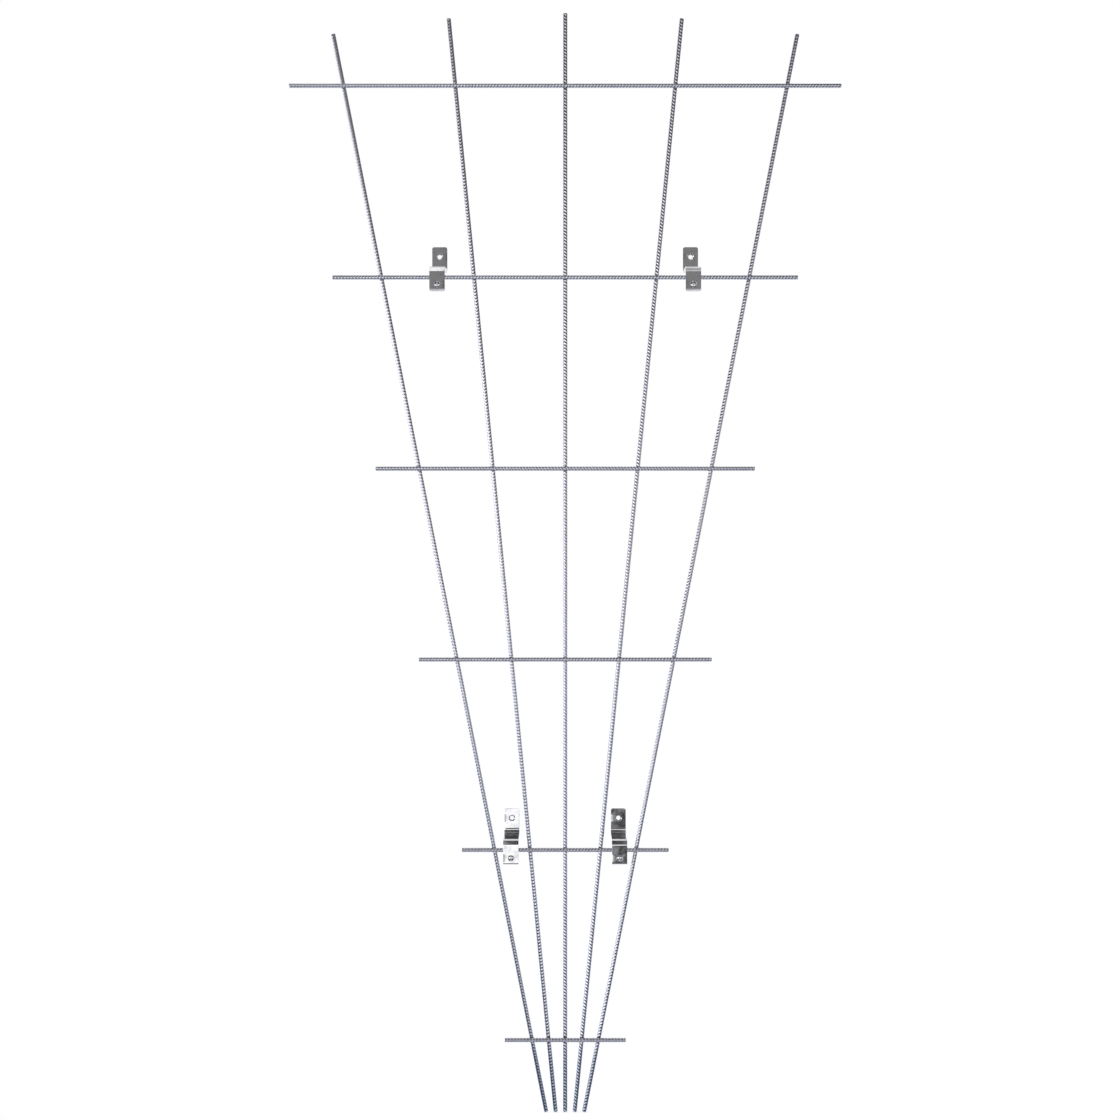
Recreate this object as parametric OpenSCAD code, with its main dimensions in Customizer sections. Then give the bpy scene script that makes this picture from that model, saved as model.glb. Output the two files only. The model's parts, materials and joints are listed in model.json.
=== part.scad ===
// Fan-shaped espalier frame: ribbed bars welded into a lattice, held off a wall
// by four bent strips that clamp onto two of the cross rods.
// X runs along the cross rods, Z is up, and the wall is the plane Y = 0 behind.
// The origin is midway between the two upper wall holes, on the wall.

/* [Rods] */
// Diameter of every rod
rod_d = 6; // [5:0.5:8]
// Chamfer on the cut ends of the rods
rod_chamfer = 0.5; // [0.2:0.1:1]
// Length of each fan rod
fan_len = 1500; // [1200:10:1800]
// Distance between the feet of neighbouring fan rods
foot_pitch = 13; // [10:0.5:16]
// Angle between neighbouring fan rods
fan_step = 5.575; // [5:0.025:6]
// Length of the top cross rod
top_len = 750; // [700:5:900]
// Length of the bottom cross rod
bottom_len = 165; // [150:5:220]
// Height of the bottom cross rod above the feet
first_height = 100; // [80:5:120]
// Length of the centre rod above the top cross rod
top_overhang = 100; // [80:5:120]

/* [Welds] */
// Distance that the weld keeps between two crossing rods
weld_gap = 0.2; // [0.1:0.05:0.4]
// Diameter of a weld nugget
weld_d = 5; // [4:0.5:5]
// Thickness of a weld nugget
weld_t = 2.2; // [1.6:0.1:2.4]

/* [Brackets] */
// Shift of the upper brackets outwards from the middle between two fan rods
upper_shift = -13.5; // [-40:0.5:40]
// Shift of the lower brackets outwards from the middle between two fan rods
lower_shift = 1.5; // [-6:0.5:6]
// Width of the bracket strip
strip_w = 21; // [16:1:22]
// Thickness of the bracket strip
strip_t = 2.5; // [2:0.25:3]
// Inner radius of both bends
bend_r = 5.5; // [3:0.5:6]
// Distance from the wall to the back of the front tab
standoff = 50; // [40:1:80]
// Height of the wall tab above the underside of the stand-off
wall_tab_h = 37; // [32:1:50]
// Height of the front tab below the top of the stand-off
front_tab_h = 34; // [33:1:40]
// Corner radius at the top of the wall tab
wall_corner_r = 3; // [1:0.5:4]
// Corner radius at the foot of the front tab
front_corner_r = 1; // [0.5:0.5:2]
// Distance from the top of the stand-off to the axis of the clamped rod
rod_drop = 15; // [14:0.5:17]
// Diameter of the wall screw hole
wall_hole_d = 5.5; // [4.5:0.5:6.5]
// Diameter of the countersink around the wall screw hole
wall_sink_d = 8.5; // [7:0.5:9]
// Distance from the top of the wall tab to its hole
wall_hole_drop = 13.5; // [8:0.5:15]

/* [Clamps] */
// Clearance between a rod and the bracket or plate that slides on it
slide_gap = 0.3; // [0.2:0.05:0.6]
// Width of the clamp plate
plate_w = 16; // [12:1:20]
// Thickness of the clamp plate
plate_t = 2; // [1.5:0.25:3]
// Height of the clamp plate above the axis of the rod
plate_rise = 6; // [4:0.5:7]
// Distance from the foot of the front tab to the lip of the clamp plate
lip_inset = 0.5; // [0:0.25:1]
// Distance from the axis of the rod down to the clamp screw
screw_drop = 10.25; // [9:0.25:11]
// Diameter of the clamp screw
screw_d = 4; // [3:0.5:5]
// Length of the clamp screw below the face of its head
screw_len = 16; // [15:0.5:20]
// Chamfer on the tip of the clamp screw
screw_chamfer = 0.5; // [0.2:0.1:0.8]
// Diameter of the countersunk screw head
head_d = 8; // [7:0.25:8.5]
// Height of the domed face of the screw head
head_rise = 0.9; // [0.4:0.1:1.2]
// Width across flats of the hexagon socket
socket_af = 2.5; // [2:0.5:3]
// Depth of the hexagon socket below the top of the dome
socket_depth = 2.2; // [1.5:0.1:2.6]
// Radial clearance of the clamp screw in the tab and the plate
screw_gap = 0.15; // [0.1:0.05:0.4]
// Clearance between the screw head and its countersink, and in the nut's thread
seat_gap = 0.05; // [0.02:0.01:0.1]
// Width across flats of the nut
nut_af = 7; // [6:0.5:8]
// Thickness of the nut
nut_t = 3.2; // [2.4:0.1:4]

/* [Hidden] */
$fn = 64;
// Overshoot of a cut past the face that it opens
cut = 1;

fan_count = 5;
cross_count = 6;
// Cross rods that carry the brackets, counted from the top
upper_row = 2;
lower_row = 5;

galvanised = [0.62, 0.63, 0.70];
weld_grey = [0.52, 0.53, 0.58];
polished = [0.80, 0.80, 0.82];
plain_steel = [0.66, 0.67, 0.68];

rod_r = rod_d / 2;
bend_out_r = bend_r + strip_t;

// Depths, measured from the wall towards the front
tab_front_y = -standoff - strip_t;
cross_y = -standoff + slide_gap + rod_r;
weld_y = cross_y + (rod_d + weld_gap) / 2;
fan_y = cross_y + rod_d + weld_gap;
plate_y = cross_y + rod_r + slide_gap;

// Heights on a bracket, measured from the axis of the rod that it clamps
standoff_top = rod_drop;
standoff_low = rod_drop - strip_t;
wall_tab_top = standoff_low + wall_tab_h;
wall_hole_z = wall_tab_top - wall_hole_drop;
front_tab_low = rod_drop - front_tab_h;

// Sphere through the rim and the top of the domed screw head
dome_r = (head_d * head_d / 4 + head_rise * head_rise) / (2 * head_rise);

// Height of a cross rod above the feet of the fan rods, counted from the top
cross_pitch = (fan_len - first_height - top_overhang) / (cross_count - 1);
function cross_height(row) = first_height + (cross_count - row) * cross_pitch;
function cross_len(row) = top_len - (row - 1) * (top_len - bottom_len) / (cross_count - 1);

// Place of a fan rod, counted from the centre rod
function fan_place(i) = i - (fan_count + 1) / 2;
function fan_lean(i) = fan_place(i) * fan_step;
function fan_x(i, height) = fan_place(i) * foot_pitch + height * tan(fan_lean(i));

// Distance of the brackets from the centre line, between the two outer fan rods of their side
function gap_middle(height) = (fan_x(fan_count - 1, height) + fan_x(fan_count, height)) / 2;
upper_x = gap_middle(cross_height(upper_row)) + upper_shift;
lower_x = gap_middle(cross_height(lower_row)) + lower_shift;

// Height of the origin above the feet of the fan rods
origin_height = cross_height(upper_row) + wall_hole_z;

// Name of a bracket's place, its distance from the centre line and the cross rod that carries it
SITES = [
    ["upper_left", -upper_x, upper_row],
    ["upper_right", upper_x, upper_row],
    ["lower_left", -lower_x, lower_row],
    ["lower_right", lower_x, lower_row]
];
CLAMPED = ["bracket", "clamp_plate", "clamp_screw", "clamp_nut"];

// Bar standing on the origin, with both ends chamfered
module bar(length) {
    rotate_extrude()
        polygon([
            [0, 0],
            [rod_r - rod_chamfer, 0],
            [rod_r, rod_chamfer],
            [rod_r, length - rod_chamfer],
            [rod_r - rod_chamfer, length],
            [0, length]
        ]);
}

module fan_bar(i) {
    translate([fan_x(i, 0), fan_y, -origin_height])
        rotate([0, fan_lean(i), 0])
            bar(fan_len);
}

module cross_bar(row) {
    translate([-cross_len(row) / 2, cross_y, cross_height(row) - origin_height])
        rotate([0, 90, 0])
            bar(cross_len(row));
}

module fan_rod(i) {
    color(galvanised)
        fan_bar(i);
}

module cross_rod(row) {
    color(galvanised)
        cross_bar(row);
}

// The five nuggets that join one cross rod to the fan rods behind it
module weld_row(row) {
    color(weld_grey)
        for (i = [1 : fan_count])
            difference() {
                translate([fan_x(i, cross_height(row)), weld_y, cross_height(row) - origin_height])
                    rotate([90, 0, 0])
                        cylinder(d = weld_d, h = weld_t, center = true);
                cross_bar(row);
                fan_bar(i);
            }
}

// Moves a clamped piece from the axis of its rod to its place on the frame
module at_site(site) {
    translate([site[1], 0, cross_height(site[2]) - origin_height])
        children();
}

// Quarter ring of the strip around a bend's centre, in the quadrant given by two signs
module bend_profile(centre, sign_y, sign_z) {
    translate(centre)
        intersection() {
            difference() {
                circle(r = bend_out_r);
                circle(r = bend_r);
            }
            translate([sign_y < 0 ? -bend_out_r : 0, sign_z < 0 ? -bend_out_r : 0])
                square(bend_out_r);
        }
}

// Side view of the bent strip: wall tab, stand-off and front tab
module strip_profile() {
    translate([-strip_t, standoff_top + bend_r])
        square([strip_t, wall_tab_top - standoff_top - bend_r]);
    bend_profile([-strip_t - bend_r, standoff_top + bend_r], 1, -1);
    translate([-standoff + bend_r, standoff_low])
        square([standoff - strip_t - 2 * bend_r, strip_t]);
    bend_profile([-standoff + bend_r, standoff_low - bend_r], -1, 1);
    translate([tab_front_y, front_tab_low])
        square([strip_t, standoff_low - bend_r - front_tab_low]);
}

// Cuts both corners of a tab's end round; turn is 1 at an upper end and -1 at a lower one
module corner_cuts(end_y, end_z, radius, turn) {
    for (side = [-1, 1])
        translate([side * (strip_w / 2 - radius), end_y, end_z - turn * radius])
            difference() {
                translate([side > 0 ? 0 : -radius - cut, -cut, turn > 0 ? 0 : -radius - cut])
                    cube([radius + cut, strip_t + 2 * cut, radius + cut]);
                translate([0, -2 * cut, 0])
                    rotate([-90, 0, 0])
                        cylinder(r = radius, h = strip_t + 4 * cut);
            }
}

// Countersunk hole through a tab, entered from the tab's front face
module sunk_hole(face_y, height, hole_d, sink_d) {
    translate([0, face_y, height])
        rotate([-90, 0, 0]) {
            translate([0, 0, -cut])
                cylinder(d = hole_d, h = strip_t + 2 * cut);
            translate([0, 0, -cut])
                cylinder(d1 = sink_d + 2 * cut, d2 = hole_d, h = (sink_d - hole_d) / 2 + cut);
        }
}

module bracket(site) {
    color(polished)
        at_site(site)
            difference() {
                translate([-strip_w / 2, 0, 0])
                    rotate([90, 0, 90])
                        linear_extrude(height = strip_w)
                            strip_profile();
                corner_cuts(-strip_t, wall_tab_top, wall_corner_r, 1);
                corner_cuts(tab_front_y, front_tab_low, front_corner_r, -1);
                sunk_hole(-strip_t, wall_hole_z, wall_hole_d, wall_sink_d);
                sunk_hole(
                    tab_front_y,
                    -screw_drop,
                    screw_d + 2 * screw_gap,
                    head_d + 2 * seat_gap
                );
            }
}

// Plate behind the rod, with a lip at its foot that bears on the back of the front tab
module clamp_plate(site) {
    plate_low = front_tab_low + lip_inset;
    color(plain_steel)
        at_site(site)
            difference() {
                translate([-plate_w / 2, 0, plate_low]) {
                    translate([0, plate_y, 0])
                        cube([plate_w, plate_t, plate_rise - plate_low]);
                    translate([0, -standoff, 0])
                        cube([plate_w, standoff + plate_y + plate_t, plate_t]);
                }
                translate([0, plate_y - cut, -screw_drop])
                    rotate([-90, 0, 0])
                        cylinder(r = screw_d / 2 + screw_gap, h = plate_t + 2 * cut);
            }
}

// Half section of the clamp screw, with the rim of its head at height 0
module screw_profile() {
    cone_depth = (head_d - screw_d) / 2;
    polygon([
        [0, 0],
        [head_d / 2, 0],
        [screw_d / 2, cone_depth],
        [screw_d / 2, screw_len - screw_chamfer],
        [screw_d / 2 - screw_chamfer, screw_len],
        [0, screw_len]
    ]);
    intersection() {
        translate([0, dome_r - head_rise])
            circle(r = dome_r);
        translate([0, -head_rise])
            square([head_d / 2, head_rise]);
    }
}

module clamp_screw(site) {
    color(polished)
        at_site(site)
            translate([0, tab_front_y, -screw_drop])
                rotate([-90, 0, 0])
                    difference() {
                        rotate_extrude()
                            screw_profile();
                        translate([0, 0, -head_rise - cut])
                            cylinder(d = socket_af / cos(30), h = socket_depth + cut, $fn = 6);
                    }
}

module clamp_nut(site) {
    color(plain_steel)
        at_site(site)
            translate([0, plate_y + plate_t, -screw_drop])
                rotate([-90, 0, 0])
                    difference() {
                        cylinder(d = nut_af / cos(30), h = nut_t, $fn = 6);
                        translate([0, 0, -cut])
                            cylinder(r = screw_d / 2 + seat_gap, h = nut_t + 2 * cut);
                    }
}

for (i = [1 : fan_count])
    fan_rod(i);
for (row = [1 : cross_count])
    cross_rod(row);
for (row = [1 : cross_count])
    weld_row(row);
for (site = SITES) {
    bracket(site);
    clamp_plate(site);
    clamp_screw(site);
    clamp_nut(site);
}
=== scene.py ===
"""Looks of a fan-shaped espalier frame: ribbed galvanised bars and polished wall brackets.

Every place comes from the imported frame, in metres. X runs along the cross bars, Z is up,
and the wall is the plane Y = 0 behind the frame.
"""

import json
import logging
import math
from collections.abc import Iterable, Sequence
from dataclasses import dataclass, field
from enum import Enum

import bmesh
import bpy
from bmesh.types import BMEdge, BMVert, BMesh
from bpy.types import Material, Node, NodeSocket, NodeTree, Object
from mathutils import Matrix, Vector, noise

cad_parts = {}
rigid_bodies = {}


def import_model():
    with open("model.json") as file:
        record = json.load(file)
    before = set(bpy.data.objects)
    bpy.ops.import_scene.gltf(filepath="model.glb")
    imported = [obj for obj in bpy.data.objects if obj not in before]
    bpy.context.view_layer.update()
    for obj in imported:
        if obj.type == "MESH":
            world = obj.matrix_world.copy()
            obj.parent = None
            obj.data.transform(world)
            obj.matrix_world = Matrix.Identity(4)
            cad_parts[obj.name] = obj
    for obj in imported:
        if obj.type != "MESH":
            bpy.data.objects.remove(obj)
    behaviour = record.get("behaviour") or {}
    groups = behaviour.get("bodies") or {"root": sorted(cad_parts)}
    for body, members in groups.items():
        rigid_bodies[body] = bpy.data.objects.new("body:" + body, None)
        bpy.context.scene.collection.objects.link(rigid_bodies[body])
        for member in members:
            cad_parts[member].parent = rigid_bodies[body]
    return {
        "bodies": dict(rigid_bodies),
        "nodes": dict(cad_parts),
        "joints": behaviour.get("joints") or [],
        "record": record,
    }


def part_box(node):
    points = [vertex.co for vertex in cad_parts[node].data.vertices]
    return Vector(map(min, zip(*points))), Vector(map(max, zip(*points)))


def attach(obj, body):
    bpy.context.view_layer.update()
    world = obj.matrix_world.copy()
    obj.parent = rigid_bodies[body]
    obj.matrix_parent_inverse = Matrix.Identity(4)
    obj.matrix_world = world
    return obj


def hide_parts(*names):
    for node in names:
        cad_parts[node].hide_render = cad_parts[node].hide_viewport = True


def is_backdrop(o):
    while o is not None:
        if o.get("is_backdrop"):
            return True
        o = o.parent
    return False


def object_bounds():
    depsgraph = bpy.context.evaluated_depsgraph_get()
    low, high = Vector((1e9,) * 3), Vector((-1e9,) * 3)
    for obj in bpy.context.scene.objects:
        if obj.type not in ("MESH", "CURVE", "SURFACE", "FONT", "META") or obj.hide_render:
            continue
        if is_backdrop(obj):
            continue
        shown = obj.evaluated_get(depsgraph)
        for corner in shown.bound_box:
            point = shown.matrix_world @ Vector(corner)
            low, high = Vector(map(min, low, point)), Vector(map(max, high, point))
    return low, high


log = logging.getLogger("espalier_frame")

MM = 0.001
# Points that are nearer than this count as level, and vertices nearer than MERGED become one.
NEAR = 0.01 * MM
MERGED = 0.001 * MM
TAU = math.tau
QUARTER = math.radians(90)
HEX_CORNER = TAU / 6
# Least share of Y in the normal of a face that lies parallel to the wall.
FACING = 0.99
# Strongest pull that a large face can have on the normals that it shares.
FLAT_WEIGHT = 100
WHITE = "#FFFFFF"
LATTICE = "lattice"
# Vertex layer with the height of the relief, by which bars and beads get painted shade and highlights
RIB_LAYER = "rib"

Colour = tuple[float, float, float, float]


class Site(Enum):
    """The four places where a bracket clamps onto the lattice, with the cross rod that carries it."""

    UPPER_LEFT = ("upper_left", "cross_rod_2")
    UPPER_RIGHT = ("upper_right", "cross_rod_2")
    LOWER_LEFT = ("lower_left", "cross_rod_5")
    LOWER_RIGHT = ("lower_right", "cross_rod_5")

    @property
    def tag(self) -> str:
        """Name of the place, as the nodes carry it."""
        return self.value[0]

    @property
    def rod(self) -> str:
        """Node of the cross rod at this place."""
        return self.value[1]

    @property
    def body(self) -> str:
        """Body that slides along the cross rod at this place."""
        return f"{self.tag}_bracket"


class Slot(Enum):
    """Material slots of the record."""

    BAR = "galvanised_bar"
    WELD = "galvanised_weld"
    STRIP = "polished_stainless"
    PLATE = "stainless_plate"
    FASTENER = "stainless_fastener"


def linear(code: str) -> Colour:
    """Turn an sRGB hex value into a linear colour.

    Args:
        code: Six hex digits, with or without the leading hash.

    Returns:
        Red, green, blue and alpha in linear light.
    """
    digits = code.lstrip("#")
    shares = [int(digits[i : i + 2], 16) / 255 for i in (0, 2, 4)]
    lights = [s / 12.92 if s <= 0.04045 else ((s + 0.055) / 1.055) ** 2.4 for s in shares]
    return (*lights, 1.0)


def add_node(
    tree: NodeTree,
    kind: str,
    inputs: dict[str | int, object] | None = None,
    **settings: object,
) -> Node:
    """Add one node with its settings, its values and its links.

    Args:
        tree: Node tree that takes the node.
        kind: Type name of the node.
        inputs: Value for each named or numbered socket, or the output socket that feeds it.
        settings: Properties of the node itself.

    Returns:
        The new node.
    """
    node = tree.nodes.new(kind)
    for name, value in settings.items():
        setattr(node, name, value)
    for key, value in (inputs or {}).items():
        if isinstance(value, NodeSocket):
            tree.links.new(value, node.inputs[key])
        else:
            node.inputs[key].default_value = value
    return node


def set_stops(ramp: Node, stops: Sequence[tuple[float, Colour]]) -> None:
    """Give a colour ramp its stops.

    Args:
        ramp: Colour ramp node.
        stops: Position and colour of each stop, from low to high.
    """
    elements = ramp.color_ramp.elements
    while len(elements) < len(stops):
        elements.new(1.0)
    for element, (position, colour) in zip(elements, stops):
        element.position = position
        element.color = colour


def new_material(name: str) -> tuple[Material, NodeTree]:
    """Make an empty node material.

    Args:
        name: Name of the real material.

    Returns:
        The material and its node tree.
    """
    material = bpy.data.materials.new(name)
    material.use_nodes = True
    material.node_tree.nodes.clear()
    return material, material.node_tree


def seen_by(tree: NodeTree, *kinds: str) -> NodeSocket:
    """Tell rays of some kinds from all others.

    Args:
        tree: Node tree of a surface or of the world.
        kinds: Kinds of ray, as the light path names them.

    Returns:
        1 for a ray of any of these kinds, or else 0.
    """
    path = add_node(tree, "ShaderNodeLightPath")
    seen = path.outputs[kinds[0]]
    for kind in kinds[1:]:
        either = {0: seen, 1: path.outputs[kind]}
        seen = add_node(tree, "ShaderNodeMath", either, operation="MAXIMUM").outputs[0]
    return seen


@dataclass(frozen=True)
class GalvanisedSteel:
    """Steel dipped in molten zinc: a satin, faintly blue grey that dulls in mottled patches.

    The grooves between the ribs carry painted shade, and the crests carry painted highlights. The
    zinc is darker and bluer towards the feet, fully up to the first of two heights above them and
    not at all above the second.
    """

    name: str
    # Colours of the hollows and of the raised relief: painted shade and painted highlight
    groove: str
    crest: str
    dull: str
    dull_share: float
    patch: float
    grain: float
    grain_depth: float
    roughness: tuple[float, float]
    # Values of the patchy noise between which the zinc turns dull, and rough
    dull_span: tuple[float, float] = (0.4, 0.68)
    rough_span: tuple[float, float] = (0.3, 0.7)
    # Darker, bluer tint towards the feet, full up to the first height above them and gone above the second
    drained: str = "#D1D8E1"
    drained_reach: tuple[float, float] = (60 * MM, 110 * MM)

    def material(self, feet_z: float) -> Material:
        """Build the node material.

        Args:
            feet_z: Height of the feet, to which the zinc drained.

        Returns:
            The material.
        """
        material, tree = new_material(self.name)
        place = add_node(tree, "ShaderNodeTexCoord").outputs["Object"]
        rib = add_node(tree, "ShaderNodeAttribute", attribute_name=RIB_LAYER).outputs["Fac"]
        patches = add_node(
            tree,
            "ShaderNodeTexNoise",
            {"Vector": place, "Scale": 1 / self.patch, "Detail": 3.0, "Roughness": 0.6},
        ).outputs["Fac"]
        grains = add_node(
            tree,
            "ShaderNodeTexNoise",
            {"Vector": place, "Scale": 1 / self.grain, "Detail": 2.0, "Roughness": 0.5},
        ).outputs["Fac"]
        # Painted shade in the hollows and painted highlights on the raised relief, by its height
        relief = add_node(
            tree,
            "ShaderNodeMix",
            {"Factor": rib, "A": linear(self.groove), "B": linear(self.crest)},
            data_type="RGBA",
        )
        patch_share = add_node(
            tree,
            "ShaderNodeMapRange",
            {
                "Value": patches,
                "From Min": self.dull_span[0],
                "From Max": self.dull_span[1],
                "To Max": self.dull_share,
            },
        ).outputs["Result"]
        colour = add_node(
            tree,
            "ShaderNodeMix",
            {"Factor": patch_share, "A": relief.outputs["Result"], "B": linear(self.dull)},
            data_type="RGBA",
        ).outputs["Result"]
        # Darker and bluer towards the feet
        full, none = self.drained_reach
        feet_tint_share = add_node(
            tree,
            "ShaderNodeMapRange",
            {
                "Value": add_node(tree, "ShaderNodeSeparateXYZ", {0: place}).outputs["Z"],
                "From Min": feet_z + none,
                "From Max": feet_z + full,
            },
            interpolation_type="SMOOTHSTEP",
        ).outputs["Result"]
        colour = add_node(
            tree,
            "ShaderNodeMix",
            {"Factor": feet_tint_share, "A": colour, "B": linear(self.drained)},
            data_type="RGBA",
            blend_type="MULTIPLY",
        ).outputs["Result"]
        rough = add_node(
            tree,
            "ShaderNodeMapRange",
            {
                "Value": patches,
                "From Min": self.rough_span[0],
                "From Max": self.rough_span[1],
                "To Min": self.roughness[0],
                "To Max": self.roughness[1],
            },
        ).outputs["Result"]
        bump = add_node(
            tree,
            "ShaderNodeBump",
            {"Height": grains, "Strength": 0.5, "Distance": self.grain_depth},
        ).outputs["Normal"]
        shader = add_node(
            tree,
            "ShaderNodeBsdfPrincipled",
            {"Base Color": colour, "Metallic": 1.0, "Roughness": rough, "Normal": bump},
        )
        add_node(tree, "ShaderNodeOutputMaterial", {"Surface": shader.outputs["BSDF"]})
        return material


@dataclass(frozen=True)
class StainlessSteel:
    """Stainless steel that was polished, rolled or turned.

    Polishing leaves a mirror with slow waves in it and faint smudges, rolling leaves fine
    lines along the sheet, and turning leaves fine rings that read as a tight grain.
    """

    name: str
    clean: str
    smudged: str
    smudge: float
    wave: float
    wave_depth: float
    line: tuple[float, float, float]
    line_depth: float
    roughness: tuple[float, float]
    # Values of the noise between which a smudge comes in
    smudge_span: tuple[float, float] = (0.42, 0.7)

    def material(self) -> Material:
        """Build the node material.

        Returns:
            The material.
        """
        material, tree = new_material(self.name)
        place = add_node(tree, "ShaderNodeTexCoord").outputs["Object"]
        smudges = add_node(
            tree,
            "ShaderNodeTexNoise",
            {"Vector": place, "Scale": 1 / self.smudge, "Detail": 4.0, "Roughness": 0.6},
        ).outputs["Fac"]
        waves = add_node(
            tree,
            "ShaderNodeTexNoise",
            {"Vector": place, "Scale": 1 / self.wave, "Detail": 1.0},
        ).outputs["Fac"]
        drawn = add_node(
            tree,
            "ShaderNodeMapping",
            {"Vector": place, "Scale": tuple(1 / size for size in self.line)},
        ).outputs["Vector"]
        lines = add_node(
            tree,
            "ShaderNodeTexNoise",
            {"Vector": drawn, "Scale": 1.0, "Detail": 2.0},
        ).outputs["Fac"]
        share = add_node(
            tree,
            "ShaderNodeMapRange",
            {"Value": smudges, "From Min": self.smudge_span[0], "From Max": self.smudge_span[1]},
        ).outputs["Result"]
        colour = add_node(
            tree,
            "ShaderNodeMix",
            {"Factor": share, "A": linear(self.clean), "B": linear(self.smudged)},
            data_type="RGBA",
        ).outputs["Result"]
        rough = add_node(
            tree,
            "ShaderNodeMapRange",
            {"Value": share, "To Min": self.roughness[0], "To Max": self.roughness[1]},
        ).outputs["Result"]
        slow = add_node(
            tree,
            "ShaderNodeBump",
            {"Height": waves, "Strength": 1.0, "Distance": self.wave_depth},
        ).outputs["Normal"]
        fine = add_node(
            tree,
            "ShaderNodeBump",
            {"Height": lines, "Strength": 1.0, "Distance": self.line_depth, "Normal": slow},
        ).outputs["Normal"]
        shader = add_node(
            tree,
            "ShaderNodeBsdfPrincipled",
            {"Base Color": colour, "Metallic": 1.0, "Roughness": rough, "Normal": fine},
        )
        add_node(tree, "ShaderNodeOutputMaterial", {"Surface": shader.outputs["BSDF"]})
        return material


# Zinc from the dip on rolled bar: crests painted pale as highlights over grooves painted
# blue-grey as shade.
GALVANISED_BAR = GalvanisedSteel(
    name="hot_dip_galvanised_ribbed_bar",
    groove="#9495A2",
    crest="#F6F6FA",
    dull="#B2B3BF",
    dull_share=0.3,
    patch=14 * MM,
    grain=0.9 * MM,
    grain_depth=0.02 * MM,
    roughness=(0.12, 0.22),
)
# Zinc over the scale of a weld: dark and rough, with little shine. Its lumps carry painted
# highlights and its dips painted shade.
GALVANISED_WELD = GalvanisedSteel(
    name="zinc_over_spot_weld",
    groove="#5E6069",
    crest="#8C8E99",
    dull="#6A6C76",
    dull_share=0.6,
    patch=3 * MM,
    grain=0.7 * MM,
    grain_depth=0.12 * MM,
    roughness=(0.42, 0.58),
)
# Buffed strip: a mirror whose pictures bend a little. Its lines are far coarser than real
# polishing marks, so that they show from close by.
POLISHED_STRIP = StainlessSteel(
    name="mirror_polished_stainless_strip",
    clean="#DCDCDE",
    smudged="#CDCCD0",
    smudge=9 * MM,
    wave=16 * MM,
    wave_depth=0.05 * MM,
    line=(6 * MM, 0.5 * MM, 0.5 * MM),
    line_depth=0.001 * MM,
    roughness=(0.06, 0.13),
)
# Sheet as it leaves the rolls: a soft sheen with lines along it, drawn coarser than real ones.
ROLLED_PLATE = StainlessSteel(
    name="cold_rolled_stainless_sheet",
    clean="#C4C5C7",
    smudged="#AEB0B3",
    smudge=7 * MM,
    wave=20 * MM,
    wave_depth=0.05 * MM,
    line=(9 * MM, 0.4 * MM, 0.4 * MM),
    line_depth=0.02 * MM,
    roughness=(0.26, 0.36),
)
# Turned steel: bright, with a tight grain in place of rings that are too fine to show.
TURNED_FASTENER = StainlessSteel(
    name="turned_stainless_fastener",
    clean="#D2D2D3",
    smudged="#B9BABD",
    smudge=3 * MM,
    wave=9 * MM,
    wave_depth=0.02 * MM,
    line=(0.5 * MM, 0.5 * MM, 0.5 * MM),
    line_depth=0.008 * MM,
    roughness=(0.14, 0.26),
)


def centre_of(node: str) -> Vector:
    """Middle of a CAD node's box."""
    low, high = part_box(node)
    return (low + high) / 2


def new_verts(made: Iterable[object]) -> list[BMVert]:
    """Pick the vertices out of what an operator made."""
    return [item for item in made if isinstance(item, BMVert)]


def new_edges(made: Iterable[object]) -> list[BMEdge]:
    """Pick the edges out of what an operator made."""
    return [item for item in made if isinstance(item, BMEdge)]


def open_rim(made: Iterable[object]) -> list[BMEdge]:
    """Pick the edges that have only one face, out of a shape's or of what an operator made."""
    return [edge for edge in new_edges(made) if edge.is_boundary]


def whole(bm: BMesh) -> list:
    """All vertices, edges and faces of a shape."""
    return bm.verts[:] + bm.edges[:] + bm.faces[:]


def merge_doubles(bm: BMesh) -> None:
    """Join the vertices that lie in the same place."""
    bmesh.ops.remove_doubles(bm, verts=bm.verts[:], dist=MERGED)


def move_to_hexagon(vert: BMVert, across_flats: float) -> float:
    """Move a vertex onto the sides of a hexagon about the Y axis, straight in or out.

    Args:
        vert: Vertex to move.
        across_flats: Distance between opposite sides of the hexagon.

    Returns:
        The vertex's new distance from the axis.
    """
    angle = math.atan2(vert.co.z, vert.co.x)
    reach = across_flats / 2 / math.cos((angle % HEX_CORNER) - HEX_CORNER / 2)
    vert.co.x, vert.co.z = reach * math.cos(angle), reach * math.sin(angle)
    return reach


def settle(
    bm: BMesh,
    name: str,
    node: str,
    body: str,
    material: Material,
) -> Object:
    """Turn a bmesh into a finished piece that stands for a CAD node.

    Args:
        bm: Shape in its place in the frame, which is freed here.
        name: Name of the piece.
        node: CAD node that the piece stands for.
        body: Body that the piece rides on.
        material: Finish of the piece.

    Returns:
        The new object.
    """
    bmesh.ops.recalc_face_normals(bm, faces=bm.faces[:])
    if bm.calc_volume(signed=True) < 0:
        bmesh.ops.reverse_faces(bm, faces=bm.faces[:])
    for face in bm.faces:
        face.smooth = True
    mesh = bpy.data.meshes.new(name)
    bm.to_mesh(mesh)
    bm.free()
    mesh.materials.append(material)
    piece = bpy.data.objects.new(name, mesh)
    bpy.context.scene.collection.objects.link(piece)
    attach(piece, body)
    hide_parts(node)
    log.info("%s: %d faces on %s", name, len(mesh.polygons), body)
    return piece


def flatten_shading(piece: Object) -> None:
    """Weight the normals by face area, so that flat faces beside rounded edges reflect as flat ones.

    Args:
        piece: Bent piece with flat tabs.
    """
    weighted = piece.modifiers.new("flat_faces", "WEIGHTED_NORMAL")
    weighted.mode = "FACE_AREA"
    weighted.weight = FLAT_WEIGHT
    weighted.keep_sharp = True


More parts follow.
